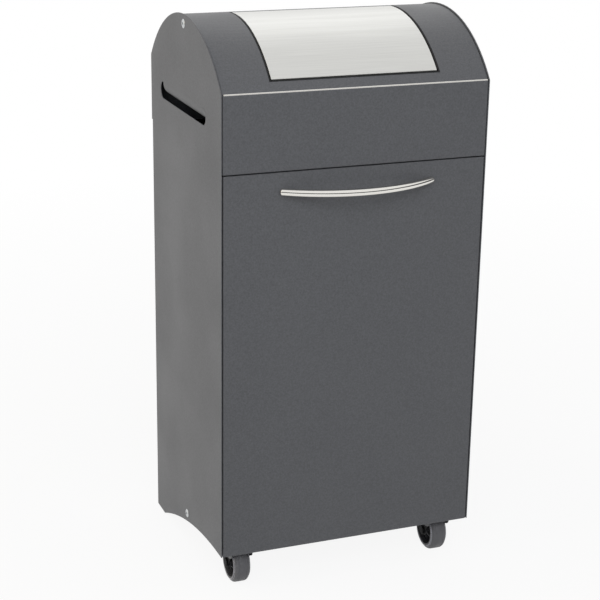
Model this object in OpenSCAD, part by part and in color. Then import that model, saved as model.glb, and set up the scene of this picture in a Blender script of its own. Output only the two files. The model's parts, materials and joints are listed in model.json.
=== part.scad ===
// Recycling bin of folded sheet steel, with an arched hood, a push flap,
// a tilting front door that carries a galvanised liner, and two front wheels.
// X runs to the right, Y to the rear and Z up. The origin lies on the floor,
// under the middle of the bin with its handle.

/* [Housing] */
// Height over the arched top
height = 790; // [740:1:860]
// Width over the two side panels
width = 380; // [350:1:440]
// Depth of the side panels, without the handle
depth = 320; // [305:1:360]
// Rise of the arched top above its spring line
arch_rise = 80; // [70:1:95]
// Thickness of the housing's sheet
sheet = 1.5; // [1:0.1:2]
// Open seam between the fascia and the door
seam = 1.5; // [1:0.1:2]
// Gap between the side panels and what lies between them
side_gap = 0.8; // [0.5:0.1:1.5]
// How far the hood lies under the side panels' arched edge
hood_drop = 2; // [1:0.1:3]
// Height of the hood's straight apron at the back
apron_h = 95; // [60:1:110]
// Step from the apron in to the back panel
back_step = 4; // [3:0.1:6]
// Overlap of the back panel's joggled edge behind the apron
back_lap = 25; // [15:1:35]
// Rivets along each edge of the back panel
rivet_count = 4; // [2:1:8]
// Distance of the outer rivets from the ends of their row
rivet_end = 40; // [20:1:80]
// Diameter of the rivet heads
rivet_d = 7; // [5:0.5:8]
// Height of the flange round the base pan
base_flange = 14; // [8:0.5:20]
// Height of the fascia band above the door
fascia_h = 104; // [90:1:115]
// Depth of the folded returns of the fascia and the door
return_d = 18; // [15:0.5:20]
// Room between those returns and the jambs behind them
return_room = 2; // [1:0.5:4]
// Width of the jamb angles behind the door's edges
jamb_w = 14.5; // [12:0.5:18]
// Depth of the jamb angles' legs on the side panels
jamb_leg = 20; // [12:0.5:30]
// How far the fascia's shelf reaches behind the jambs' front
shelf_lap = 14; // [10:0.5:20]
// Width of the hood rails' seat under the hood
rail_w = 12.5; // [8:0.5:16]
// Height of the hood rails' legs on the side panels
rail_leg = 8; // [5:0.5:12]
// Depth of the back panel's side returns
back_return = 18; // [10:0.5:25]
// Free gap between the base pan and the foot and back flanges below it
base_gap = 3; // [2:0.5:5]

/* [Foot] */
// Height of the side panels' front corner above the floor
toe_h = 60; // [50:1:62]
// Straight stretch of the bottom edge before its arch starts
toe_len = 10; // [5:1:20]
// Length of the rear foot on the floor
foot_len = 36; // [30:1:50]
// Width of the flange inside the foot
foot_flange = 20; // [16:1:28]
// Thickness of the rubber pads under the feet
pad_t = 3; // [2:0.5:4]

/* [Hand slots] */
// Length of the hand slot
slot_len = 207; // [150:1:220]
// Height of the hand slot
slot_h = 24; // [20:0.5:30]
// Distance of the slot's middle behind the front
slot_back = 168.5; // [150:0.5:185]
// Distance of the slot's middle below the top
slot_drop = 121.5; // [115:0.5:140]
// Radius of the rolled lip over the slot
lip_r = 16; // [12:0.5:18]
// Plain length of the slot's straight edge at each end of the lip
lip_relief = 1.5; // [0.5:0.5:12]

/* [Cross rods] */
// Thread diameter of the rods' end screws
rod_screw_d = 6; // [5:0.5:6.5]
// Length of those screws inside the panels
rod_screw_len = 14; // [10:1:20]
// Diameter of the cross rods
rod_d = 10; // [9:0.5:11]
// Distance of the rods' axes from the nearest edge of the side panels
rod_inset = 13; // [12.5:0.1:14]
// Diameter of the screw heads at the rods' ends
rod_head_d = 12.5; // [11:0.5:15]
// Height of those screw heads
rod_head_h = 1.2; // [0.8:0.1:2]

/* [Flap] */
// Width of the flap's opening in the hood
mouth_w = 240; // [200:1:260]
// Strip of the hood in front of the opening, measured along the arch
mouth_sill = 17.7; // [14:0.1:28]
// How far the opening reaches behind the crest, measured along the arch
mouth_past = 13.8; // [10:0.1:15.5]
// Open gap all round the flap
flap_gap = 2.5; // [1.5:0.1:3]
// How far the backing plate reaches under the hood
flap_lap = 6; // [4:0.5:8]
// Thickness of the backing plate
backing_t = 1.2; // [1:0.1:1.5]
// Distance of the flap's arms from its sides
arm_inset = 17.5; // [12:0.5:30]
// Thickness of the flap's arms
arm_t = 3; // [2:0.5:4]
// Angle from the crest to the front ends of the arms
arm_front = 35; // [25:1:38]
// Angle by which the arms and the backing plate stop short of the crest
arm_short = 1; // [0.5:0.5:3]
// Radius of the arms' eyes round the rod
eye_r = 7; // [6.8:0.1:7.4]
// Wire of the return spring
spring_wire = 1.8; // [1.2:0.1:2]
// Open gap between the spring's turns
spring_gap = 0.6; // [0.5:0.1:1]
// Width of the collars that hold the springs
collar_w = 8; // [5:0.5:12]
// Turns of the return spring
spring_turns = 6; // [4:1:7]
// Travel of the flap in degrees
flap_travel = 60; // [50:1:65]

/* [Door] */
// How much the door is narrower than the fascia at each side
door_inset = 0.5; // [0:0.1:1]
// Height of the return at the door's bottom edge
door_foot_return = 8; // [5:0.5:9]
// Height of the lip behind the door's top edge
door_lip_h = 14; // [12:0.5:20]
// Width of the magnet catch
magnet_w = 50; // [30:1:80]
// Height of the magnet catch
magnet_h = 16; // [10:1:20]
// Height of the hinge axis above the base pan
pivot_rise = 5; // [4:0.5:7]
// Length of the hinge plates
hinge_len = 40; // [25:1:60]
// Distance of the door's hinge axis behind the front
pivot_back = 12; // [11:0.5:13]
// Radius of the door's rounded lower corners about the hinge
hinge_r = 10; // [9:0.5:10]
// Diameter of the hinge pins
pin_d = 8; // [6:0.5:9]
// Thickness of the hinge plates
hinge_t = 3; // [2:0.5:4]
// Travel of the door in degrees
door_travel = 35; // [32:1:38]
// Width of the cheeks' flange on the door
cheek_flange = 14; // [8:0.5:20]
// Radius of the sector cheeks about the hinge
cheek_r = 300; // [260:1:340]

/* [Handle] */
// Distance between the feet of the handle, where its bar meets the door
handle_span = 211; // [170:1:230]
// How far the bar's axis bows out from the door
handle_bow = 35; // [30:1:45]
// Diameter of the handle's bar
bar_d = 10; // [9:0.5:12]
// Depth of the flats ground on the bar's ends, which seat on the door
bar_flat = 2.5; // [1.5:0.1:3]
// Distance of the handle below the door's top edge
handle_drop = 25.5; // [22:0.5:60]
// Shank diameter of the handle's screws
handle_screw_d = 5; // [4:0.5:5.5]

/* [Liner] */
// Distance of the liner's front behind the door's face
liner_front = 8; // [6:0.5:12]
// Free depth behind the liner's tray
liner_rear = 58.5; // [56:0.5:90]
// Side gap between the liner's rim and its bail
bail_gap = 1.5; // [1:0.1:3]
// Side gap between the bail and the door's cheeks
bail_play = 0.5; // [0.4:0.1:3]
// Wall thickness of the liner
liner_t = 1; // [0.8:0.1:1.2]
// Corner radius of the liner
liner_corner = 12; // [6:1:30]
// Height of the liner's doubled rim
rim_h = 12; // [8:1:16]
// Height of the tray above the base pan
tray_rise = 8; // [6:0.5:12]
// Play between the liner's rim and the back of its tray
tray_play = 4; // [2:0.5:8]
// Room that the liner's back corner keeps below the catch as the door tilts
tilt_room = 12; // [6:0.5:30]
// Radius of the ears for the bail
ear_r = 9; // [6:0.5:10]
// Thickness that the rim adds outside the wall
rim_t = 2; // [1:0.1:2]
// Height of the tray's upstands
tray_lip = 20; // [12:1:25]
// Wire diameter of the bail
bail_wire = 5; // [4:0.5:5]
// Bend radius of the bail
bail_bend = 16; // [10:1:25]
// Distance of the bail's pivots below the liner's rim
bail_drop = 20; // [15:1:30]

/* [Wheels] */
// Diameter of the tyres
wheel_d = 60; // [54:1:66]
// Width of the tyres
wheel_w = 25; // [22:0.5:28]
// Radius of the tyres' shoulders
shoulder_r = 7; // [5:0.5:10]
// Radius where the hub meets the tyre
rim_r = 22; // [16:0.5:23]
// Diameter of the axles
axle_d = 8; // [6:0.5:9]
// Distance of the wheels' middle planes from the sides of the bin
wheel_inset = 36.5; // [34:0.5:50]
// Distance from the door's hinge axis to the wheel covers
cover_back = 5; // [4.5:0.5:14]
// Room between a tyre and its cover at the cover's edge
cover_play = 2.1; // [1.5:0.1:4]
// Height of the axle bolts' heads and nuts
bolt_h = 2.5; // [2:0.1:3.5]
// Room above the tyres
wheel_room = 3.5; // [2:0.5:6]
// How far the wheel covers reach below the door
cover_drop = 9.5; // [4:0.5:11]
// Thickness of the wheel forks
fork_t = 1.5; // [1.2:0.1:2.5]
// Thickness of the wheel covers
cover_t = 1.2; // [1:0.1:2]
// Side play of each wheel in its fork
wheel_play = 0.5; // [0.3:0.1:1]

/* [Hidden] */

$fn = 96;
// Facets of the large arcs
arc_fn = 360;
// Longer than anything here
big = 1000;
// Gap between faces that move past each other or rest on one another loosely
rest_gap = 0.3;
// Radial clearance of a pin or rod that turns in a hole
run_fit = 0.05;

anthracite = [0.33, 0.34, 0.36];
stainless = [0.82, 0.83, 0.84];
polished = [0.72, 0.74, 0.77];
galvanised = [0.66, 0.69, 0.71];
zinc = [0.78, 0.79, 0.80];
black = [0.09, 0.09, 0.10];
tyre_grey = [0.46, 0.46, 0.48];

// The handle's front is the model's front, so the front panels lie behind it
handle_reach = handle_bow + bar_d / 2;
y_front = (handle_reach - depth) / 2;

// Widths, measured from the middle plane
outer_x = width / 2;
inner_x = outer_x - sheet;
front_x = inner_x - side_gap;
door_x = front_x - door_inset;
jamb_x = inner_x - jamb_w;
shelf_x = jamb_x - rest_gap;
cheek_x = jamb_x - seam;

// Arched top: every sheet of it shares this centre
arch_r = (pow(depth / 2, 2) + pow(arch_rise, 2)) / (2 * arch_rise);
arch_y = depth / 2;
arch_z = height - arch_r;
spring_z = height - arch_rise;
hood_r = arch_r - hood_drop;
hood_in = hood_r - sheet;

// Rear edges
apron_z = spring_z - apron_h;
back_y = depth - back_step;
apron_in = depth - sheet;

// Foot arch: tangent to the toe's height where it starts, on the floor where the foot starts
foot_y = back_y - foot_len;
foot_span = foot_y - toe_len;
foot_r = (pow(foot_span, 2) + pow(toe_h, 2)) / (2 * toe_h);
foot_cz = toe_h - foot_r;
foot_edge = 0.5;

// Cross rods, midway between front and back
rod_y = arch_y;
rod_top_z = height - rod_inset;
rod_low_z = foot_cz + sqrt(pow(foot_r, 2) - pow(rod_y - toe_len, 2)) + rod_inset;

// Fascia and door
fascia_z = spring_z - fascia_h;
door_top = fascia_z - seam;
handle_screw_x = handle_span / 2 - handle_screw_d / 2;
jamb_y = return_d + return_room;
ledge_d = arch_y - sqrt(pow(hood_in, 2) - pow(spring_z - arch_z, 2)) + 4;
shelf_d = jamb_y + shelf_lap;

// Wheels and what stands on them
wheel_r = wheel_d / 2;
wheel_x = outer_x - wheel_inset;
cover_z = toe_h - cover_drop;
cover_front = pivot_back + cover_back;
cover_half = sqrt(pow(wheel_r, 2) - pow(max(0, cover_z - wheel_r), 2)) + cover_play + cover_t;
wheel_y = cover_front + cover_half;
fork_in = wheel_w / 2 + wheel_play;
fork_out = fork_in + fork_t;
cover_out = fork_out + cover_t;
base_z = wheel_d + wheel_room + fork_t;
base_front = cover_front + 6;

// Door hinge, tray and liner
pivot_z = base_z + pivot_rise;
tray_z = base_z + tray_rise;
tray_top = tray_z + sheet;
tray_back = back_y - sheet - liner_rear;
liner_back = tray_back - tray_play - rim_t;
liner_d = liner_back - liner_front;
liner_w = 2 * (cheek_x - sheet - bail_play - bail_wire - bail_gap - rim_t);
liner_reach = fascia_z - magnet_h - pivot_z - tilt_room;
liner_top = pivot_z + sqrt(pow(liner_reach, 2) - pow(liner_back + rim_t - pivot_back, 2));

// Flap: the skin is as much thicker than the hood as it takes to lie on its backing
skin_in = hood_in - rest_gap;
backing_in = skin_in - backing_t;
flap_x = mouth_w / 2 - flap_gap;
mouth_front = asin(depth / 2 / arch_r) - arch_angle(mouth_sill);
mouth_back = arch_angle(mouth_past);
gap_angle = arch_angle(flap_gap);
lap_angle = arch_angle(flap_lap);
arm_x = flap_x - arm_inset;
spring_pitch = spring_wire + spring_gap;

// Angle that a length along the hood takes up about the arch's centre
function arch_angle(length) = length / hood_r * 180 / PI;

module from_front() {
    translate([0, y_front, 0]) children();
}

module on_side(side) {
    if (side < 0) mirror([1, 0, 0]) children();
    else children();
}

// Extrudes an outline drawn in Y and Z from x0 to x1
module along_x(x0, x1) {
    translate([x0, 0, 0]) rotate([90, 0, 90]) linear_extrude(x1 - x0) children();
}

module rod_x(x0, x1, r) {
    translate([x0, 0, 0]) rotate([0, 90, 0]) cylinder(r = r, h = x1 - x0);
}

// Block given by its lower and upper corner
module block(low, high) {
    translate(low) cube(high - low);
}

// Ring between two radii about the arch's centre, as an outline in Y and Z
module arch_ring(r0, r1) {
    translate([arch_y, arch_z]) difference() {
        circle(r1, $fn = arc_fn);
        circle(r0, $fn = arc_fn);
    }
}

// Wedge about the arch's centre, from one angle in front of the crest to one behind it
module arch_wedge(front, back) {
    far = 2 * arch_r;
    translate([arch_y, arch_z]) polygon([
        [0, 0],
        [-far * sin(front), far * cos(front)],
        [0, far / cos(max(front, back))],
        [far * sin(back), far * cos(back)]
    ]);
}

// Outline of a side panel
module side_outline() {
    difference() {
        union() {
            translate([0, foot_edge]) square([back_y, spring_z - foot_edge]);
            translate([0, apron_z]) square([depth, apron_h]);
            intersection() {
                translate([arch_y, arch_z]) circle(arch_r, $fn = arc_fn);
                translate([0, spring_z - 1]) square([depth, arch_rise + 2]);
            }
        }
        translate([toe_len, foot_cz]) circle(foot_r, $fn = arc_fn);
        square([toe_len, toe_h]);
    }
}

// Flange folded along the foot arch; it starts behind the door's hinge
module foot_arch_flange() {
    start = pivot_back + hinge_r + 2;
    intersection() {
        difference() {
            translate([toe_len, foot_cz]) circle(foot_r + sheet, $fn = arc_fn);
            translate([toe_len, foot_cz]) circle(foot_r, $fn = arc_fn);
        }
        translate([start, pad_t + sheet]) square([foot_y - start, toe_h]);
    }
}

module slot_outline() {
    translate([slot_back, height - slot_drop]) {
        square([slot_len - slot_h, slot_h], center = true);
        for (end = [-1, 1])
            translate([end * (slot_len - slot_h) / 2, 0]) circle(slot_h / 2);
    }
}

// Quarter roll of sheet, from the panel's plane inwards and down
module slot_lip() {
    lip_len = slot_len - slot_h - 2 * lip_relief;
    translate([outer_x - lip_r, slot_back + lip_len / 2, height - slot_drop + slot_h / 2])
        rotate([90, 0, 0]) linear_extrude(lip_len) intersection() {
            difference() {
                circle(lip_r);
                circle(lip_r - sheet);
            }
            translate([0, -lip_r]) square(lip_r);
        }
}

module side_panel(side) {
    flange_in = inner_x - 10;
    color(anthracite) from_front() on_side(side) {
        difference() {
            union() {
                along_x(inner_x, outer_x) side_outline();
                along_x(flange_in, inner_x) foot_arch_flange();
                // Foot: a flange over the pad and a return at the back
                block([inner_x - foot_flange, foot_y, pad_t], [inner_x, back_y, pad_t + sheet]);
                block([inner_x - foot_flange, back_y - sheet, pad_t], [inner_x, back_y, base_z - base_gap]);
            }
            along_x(inner_x - 1, outer_x + 1) slot_outline();
            for (z = [rod_low_z, rod_top_z])
                translate([0, rod_y, z]) rod_x(inner_x - 1, outer_x + 1, rod_screw_d / 2 + 0.2);
        }
        slot_lip();
    }
}

module left_side_panel() side_panel(-1);
module right_side_panel() side_panel(1);

// Arched sheet with a straight apron at the back and an opening for the flap
module hood() {
    color(anthracite) from_front() difference() {
        along_x(-front_x, front_x) union() {
            intersection() {
                arch_ring(hood_in, hood_r);
                union() {
                    translate([0, spring_z]) square([depth, arch_rise]);
                    translate([arch_y, apron_z]) square([depth - arch_y, height - apron_z]);
                }
            }
            translate([apron_in, apron_z])
                square([sheet, arch_z + sqrt(pow(hood_r, 2) - pow(depth - arch_y, 2)) - apron_z]);
        }
        along_x(-mouth_w / 2, mouth_w / 2) arch_wedge(mouth_front, mouth_back);
    }
}

// Angle section rolled to the arch, on which the hood's edge lies
module hood_rail(side) {
    color(anthracite) from_front() on_side(side) difference() {
        union() {
            along_x(inner_x - rail_w, inner_x) intersection() {
                arch_ring(hood_in - sheet, hood_in);
                translate([0, spring_z + 2]) square([depth, arch_rise]);
            }
            along_x(inner_x - sheet, inner_x) intersection() {
                arch_ring(hood_in - rail_leg, hood_in);
                translate([0, spring_z + 2]) square([depth, arch_rise]);
            }
        }
        translate([0, rod_y, rod_top_z]) rod_x(inner_x - rail_w - 1, inner_x + 1, rod_d / 2 + rest_gap);
    }
}

module left_hood_rail() hood_rail(-1);
module right_hood_rail() hood_rail(1);

// Folded band: face, top ledge under the hood, side returns and a shelf above the door
module fascia() {
    color(anthracite) from_front() {
        block([-front_x, 0, fascia_z], [front_x, sheet, spring_z]);
        block([-front_x, 0, spring_z - sheet], [front_x, ledge_d, spring_z]);
        block([-front_x, 0, fascia_z], [front_x, jamb_y, fascia_z + sheet]);
        block([-shelf_x, 0, fascia_z], [shelf_x, shelf_d, fascia_z + sheet]);
        for (side = [-1, 1]) on_side(side)
            block([front_x - sheet, 0, fascia_z], [front_x, jamb_y, spring_z]);
    }
}

// Angle section up the inside of each side panel, behind the door and the fascia
module jamb(side) {
    color(anthracite) from_front() on_side(side) {
        block([jamb_x, jamb_y, tray_z + tray_lip], [inner_x, jamb_y + sheet, spring_z - 4]);
        block([inner_x - sheet, jamb_y, tray_z + tray_lip], [inner_x, jamb_y + jamb_leg, spring_z - 4]);
    }
}

module left_jamb() jamb(-1);
module right_jamb() jamb(1);

// Back panel with side returns, and a joggled top edge that lies inside the apron
module back_panel() {
    top = apron_z + back_lap;
    joggle_z = apron_z - 4;
    color(anthracite) from_front() {
        block([-inner_x, back_y - sheet, base_z - base_gap], [inner_x, back_y, joggle_z]);
        block([-inner_x, back_y - sheet, joggle_z - sheet], [inner_x, apron_in, joggle_z]);
        block([-inner_x, apron_in - sheet, joggle_z - sheet], [inner_x, apron_in, top]);
        for (side = [-1, 1]) on_side(side)
            block(
                [inner_x - sheet, back_y - sheet - back_return, base_z + base_flange + base_gap],
                [inner_x, back_y - sheet, joggle_z]
            );
    }
}

module base_pan() {
    back = back_y - sheet;
    top = base_z + base_flange;
    color(anthracite) from_front() {
        block([-inner_x, base_front, base_z], [inner_x, back, base_z + sheet]);
        block([-inner_x, back - sheet, base_z], [inner_x, back, top]);
        block([-inner_x, base_front, base_z], [inner_x, base_front + sheet, base_z + 6]);
        for (side = [-1, 1]) on_side(side)
            block([inner_x - sheet, base_front, base_z], [inner_x, back, top]);
    }
}

// Steel rod between the side panels, drilled at each end for its screw
module cross_rod(z) {
    color(zinc) from_front() translate([0, rod_y, z]) difference() {
        rod_x(-inner_x, inner_x, rod_d / 2);
        for (side = [-1, 1]) on_side(side)
            rod_x(inner_x - rod_screw_len - 2, inner_x + 1, rod_screw_d / 2 + run_fit);
    }
}

module upper_cross_rod() cross_rod(rod_top_z);
module lower_cross_rod() cross_rod(rod_low_z);

// Low round heads outside the panels, with a hexagon socket
module cross_rod_screws() {
    color(zinc) from_front()
        for (side = [-1, 1], z = [rod_low_z, rod_top_z]) on_side(side) translate([0, rod_y, z]) {
            difference() {
                rod_x(outer_x, outer_x + rod_head_h, rod_head_d / 2);
                translate([outer_x + rod_head_h / 3, 0, 0]) rotate([0, 90, 0])
                    cylinder(r = 2.3, h = rod_head_h, $fn = 6);
            }
            rod_x(inner_x - rod_screw_len, outer_x, rod_screw_d / 2);
        }
}

module back_rivets() {
    first = base_z + rivet_end;
    last = apron_z - rivet_end;
    step = (last - first) / (rivet_count - 1);
    color(anthracite) from_front()
        for (side = [-1, 1], i = [0 : rivet_count - 1])
            translate([side * (inner_x - back_return / 2), back_y, first + step * i])
                rotate([-90, 0, 0]) cylinder(r1 = rivet_d / 2, r2 = rivet_d * 0.37, h = 1.2, $fn = 24);
}

module foot_pads() {
    color(black) from_front()
        for (side = [-1, 1]) on_side(side)
            block([inner_x - foot_flange + 2, foot_y + 5, 0], [inner_x - 2, back_y - 4, pad_t]);
}

// Pins welded to the side panels' inner faces, with a collar at their foot
module door_hinge_pins() {
    color(zinc) from_front()
        for (side = [-1, 1]) on_side(side) translate([0, pivot_back, pivot_z]) {
            rod_x(door_x - sheet - hinge_t - 3, inner_x, pin_d / 2);
            rod_x(door_x + rest_gap, inner_x, pin_d / 2 + 2.5);
        }
}

module magnet_catch() {
    color(black) from_front()
        block(
            [-magnet_w / 2, return_d + rest_gap, fascia_z - magnet_h],
            [magnet_w / 2, shelf_d - 2, fascia_z]
        );
}

// Open box over the wheel, painted like the door
module wheel_cover(side) {
    color(anthracite) from_front() on_side(side) translate([wheel_x, wheel_y, 0]) difference() {
        block([-cover_out, -cover_half, cover_z], [cover_out, cover_half, base_z]);
        block(
            [-fork_out, -cover_half + cover_t, cover_z - 1],
            [fork_out, cover_half - cover_t, base_z + 1]
        );
    }
}

module left_wheel_cover() wheel_cover(-1);
module right_wheel_cover() wheel_cover(1);

// Bent strap with two tapered legs that hold the axle
module wheel_fork(side) {
    half = cover_half - cover_t;
    color(black) from_front() on_side(side) translate([wheel_x, wheel_y, 0]) difference() {
        union() {
            block([-fork_out, -half, base_z - fork_t], [fork_out, half, base_z]);
            for (leg = [-1, 1]) on_side(leg) along_x(fork_in, fork_out) {
                translate([0, wheel_r]) circle(axle_d / 2 + 4);
                polygon([
                    [-axle_d / 2 - 4, wheel_r], [axle_d / 2 + 4, wheel_r],
                    [half, cover_z + 3], [half, base_z], [-half, base_z], [-half, cover_z + 3]
                ]);
            }
        }
        translate([0, 0, wheel_r]) rod_x(-fork_out - 1, fork_out + 1, axle_d / 2 + run_fit);
    }
}

module left_wheel_fork() wheel_fork(-1);
module right_wheel_fork() wheel_fork(1);

// Axle bolts: a low round head at one end and a nut at the other
module wheel_axles() {
    color(black) from_front()
        for (side = [-1, 1]) on_side(side) translate([wheel_x, wheel_y, wheel_r]) {
            rod_x(-fork_out - bolt_h, fork_out + 1, axle_d / 2);
            rod_x(fork_out, fork_out + bolt_h, axle_d / 2 + 2.5);
            translate([-fork_out - bolt_h, 0, 0]) rotate([0, 90, 0])
                cylinder(r = axle_d / 2 + 3, h = bolt_h, $fn = 6);
        }
}

// Turns an outline drawn as radius and width about the wheel's axis
module about_axle(side) {
    from_front() translate([side * wheel_x, wheel_y, wheel_r]) rotate([0, 90, 0]) rotate_extrude() children();
}

module tyre(side) {
    half = wheel_w / 2;
    color(tyre_grey) about_axle(side) difference() {
        union() {
            translate([0, -half]) square([wheel_r - shoulder_r, 2 * half]);
            translate([0, shoulder_r - half]) square([wheel_r, 2 * (half - shoulder_r)]);
            for (edge = [-1, 1])
                translate([wheel_r - shoulder_r, edge * (half - shoulder_r)]) circle(shoulder_r);
        }
        translate([-1, -half - 1]) square([rim_r + 1, 2 * half + 2]);
    }
}

module left_tyre() tyre(-1);
module right_tyre() tyre(1);

// Dished hub: rim, thin web and a boss that runs on the axle
module hub(side) {
    half = wheel_w / 2;
    bore = axle_d / 2 + run_fit;
    color(black) about_axle(side) {
        translate([rim_r - 3, -half + 0.5]) square([3, 2 * half - 1]);
        translate([bore, -3.5]) square([rim_r - bore, 7]);
        translate([bore, -half]) square([3.5, 2 * half]);
    }
}

module left_hub() hub(-1);
module right_hub() hub(1);

// Curved stainless skin, flush with the hood
module flap_panel() {
    color(stainless) from_front() along_x(-flap_x, flap_x) intersection() {
        arch_ring(skin_in, hood_r);
        arch_wedge(mouth_front - gap_angle, mouth_back - gap_angle);
    }
}

// Blackened plate under the skin; its edges reach under the hood and stop the flap there
module flap_backing() {
    half = mouth_w / 2 + flap_lap;
    color(black) from_front() along_x(-half, half) intersection() {
        arch_ring(backing_in, skin_in);
        arch_wedge(mouth_front + lap_angle, -arm_short);
    }
}

module flap_arm(side) {
    color(galvanised) from_front() on_side(side) difference() {
        along_x(arm_x - arm_t / 2, arm_x + arm_t / 2) union() {
            intersection() {
                arch_ring(arch_r - rod_inset - eye_r + 2, backing_in);
                arch_wedge(arm_front, -arm_short);
            }
            translate([rod_y, rod_top_z]) circle(eye_r);
        }
        translate([0, rod_y, rod_top_z]) rod_x(arm_x - arm_t, arm_x + arm_t, rod_d / 2 + run_fit);
    }
}

module left_flap_arm() flap_arm(-1);
module right_flap_arm() flap_arm(1);

// Round wire wound about the rod, swept as rings of points along the helix
module flap_spring(side) {
    sides = 6;
    steps = 20;
    wind_r = rod_d / 2 + run_fit + spring_wire / 2 + 0.4;
    turns = spring_turns * steps;
    start = arm_x - arm_t / 2 - rest_gap - spring_wire / 2 - spring_pitch * spring_turns;
    points = [
        for (i = [0 : turns], k = [0 : sides - 1])
            let (a = 360 * i / steps, b = 360 * k / sides, r = wind_r + spring_wire / 2 * cos(b))
            [start + spring_pitch * i / steps + spring_wire / 2 * sin(b), r * cos(a), r * sin(a)]
    ];
    walls = [
        for (i = [0 : turns - 1], k = [0 : sides - 1], half = [0, 1])
            let (n = (k + 1) % sides, low = i * sides, high = low + sides)
            half == 0 ? [low + k, low + n, high + n] : [low + k, high + n, high + k]
    ];
    first = [for (k = [sides - 1 : -1 : 0]) k];
    last = [for (k = [0 : sides - 1]) turns * sides + k];
    echo(least_gap_between_turns = spring_pitch - spring_wire);
    color(zinc) from_front() on_side(side) translate([0, rod_y, rod_top_z])
        polyhedron(points, concat(walls, [first, last]), convexity = 10);
}

module left_flap_spring() flap_spring(-1);
module right_flap_spring() flap_spring(1);

// Collars clamped on the rod, which hold the springs' fixed ends
module spring_collars() {
    end = arm_x - arm_t / 2 - 2 * rest_gap - spring_wire - spring_pitch * spring_turns;
    color(zinc) from_front()
        for (side = [-1, 1]) on_side(side) translate([0, rod_y, rod_top_z]) difference() {
            rod_x(end - collar_w, end, eye_r);
            rod_x(end - collar_w - 1, end + 1, rod_d / 2 + run_fit);
        }
}

// Outline of the door's side return, rounded about the hinge
module door_return_outline() {
    translate([0, pivot_z]) square([return_d, door_top - pivot_z]);
    translate([0, toe_h]) square([pivot_back, pivot_z - toe_h]);
    intersection() {
        translate([pivot_back, pivot_z]) circle(hinge_r);
        translate([0, toe_h]) square([pivot_back + hinge_r, pivot_z - toe_h + 1]);
    }
}

module door_panel() {
    color(anthracite) from_front() difference() {
        union() {
            block([-door_x, 0, toe_h], [door_x, sheet, door_top]);
            block([-door_x, 0, toe_h], [door_x, door_foot_return, toe_h + sheet]);
            block([-door_x, 0, door_top - sheet], [door_x, return_d, door_top]);
            block([-door_x, return_d - sheet, door_top - door_lip_h], [door_x, return_d, door_top]);
            for (side = [-1, 1]) on_side(side)
                along_x(door_x - sheet, door_x) door_return_outline();
        }
        for (side = [-1, 1]) on_side(side) {
            translate([0, pivot_back, pivot_z]) rod_x(door_x - sheet - 1, door_x + 1, pin_d / 2 + run_fit);
            translate([handle_screw_x, -1, door_top - handle_drop])
                rotate([-90, 0, 0]) cylinder(r = handle_screw_d / 2 + 0.2, h = sheet + 2);
        }
    }
}

module hinge_plate(side) {
    color(zinc) from_front() on_side(side) difference() {
        along_x(door_x - sheet - hinge_t, door_x - sheet) union() {
            translate([pivot_back, pivot_z]) circle(min(hinge_r, pivot_back - sheet) - 1);
            translate([sheet, pivot_z]) square([return_d - sheet - 1, hinge_len]);
        }
        translate([0, pivot_back, pivot_z])
            rod_x(door_x - sheet - hinge_t - 1, door_x, pin_d / 2 + run_fit);
    }
}

module left_hinge_plate() hinge_plate(-1);
module right_hinge_plate() hinge_plate(1);

// Round bar bent to one arc, cut off square, with a small flat at each end where it meets the door
module door_handle() {
    inner_bow = handle_bow - bar_d / 2 + bar_flat;
    inner_r = (pow(handle_span / 2, 2) + pow(inner_bow, 2)) / (2 * inner_bow);
    bow_r = inner_r + bar_d / 2;
    half_angle = asin(handle_span / 2 / inner_r);
    color(polished) from_front() translate([0, 0, door_top - handle_drop]) difference() {
        translate([0, bow_r - handle_bow, 0]) rotate([0, 0, -90 - half_angle])
            rotate_extrude(angle = 2 * half_angle, $fn = arc_fn)
                translate([bow_r, 0]) circle(bar_d / 2, $fn = 32);
        block([-big / 2, 0, -bar_d], [big / 2, big / 2, bar_d]);
        for (side = [-1, 1])
            translate([side * handle_screw_x, -5, 0])
                rotate([-90, 0, 0]) cylinder(r = handle_screw_d / 2 + run_fit, h = 10);
    }
}

module handle_screws() {
    color(zinc) from_front()
        for (side = [-1, 1])
            translate([side * handle_screw_x, 0, door_top - handle_drop]) rotate([-90, 0, 0]) {
                translate([0, 0, -4.5]) cylinder(r = handle_screw_d / 2, h = 5 + sheet);
                translate([0, 0, sheet]) cylinder(r = handle_screw_d, h = 2.5);
            }
}

// Sector plate that closes the side gap of the open door; its rear edge is folded out
// and comes up behind the jamb at full travel
module cheek(side) {
    stop_y = jamb_y + sheet + rest_gap - pivot_back;
    color(anthracite) from_front() on_side(side) {
        along_x(cheek_x - sheet, cheek_x) intersection() {
            translate([pivot_back, pivot_z]) circle(cheek_r, $fn = arc_fn);
            translate([sheet, tray_z]) square(big);
            translate([pivot_back, pivot_z]) rotate(-door_travel)
                translate([-big, -big / 2]) square([big + stop_y + sheet, 2 * big]);
        }
        along_x(cheek_x - sheet, inner_x - 3) translate([pivot_back, pivot_z]) rotate(-door_travel)
            translate([stop_y, cheek_r / 3]) square([sheet, cheek_r * 0.63]);
        // Flange welded to the door's inner face
        block(
            [cheek_x - cheek_flange, sheet, tray_z + tray_lip + 2],
            [cheek_x - sheet, 2 * sheet, pivot_z + cheek_r * 0.9]
        );
    }
}

module left_cheek() cheek(-1);
module right_cheek() cheek(1);

module liner_tray() {
    half = cheek_x - sheet;
    color(anthracite) from_front() {
        block([-half, sheet, tray_z], [half, tray_back, tray_top]);
        block([-half, sheet, tray_z], [half, 2 * sheet, tray_z + tray_lip]);
        block([-half, tray_back - sheet, tray_z], [half, tray_back, tray_z + tray_lip]);
        for (side = [-1, 1]) on_side(side)
            block([half - sheet, sheet, tray_z], [half, tray_back, tray_z + tray_lip]);
    }
}

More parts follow.
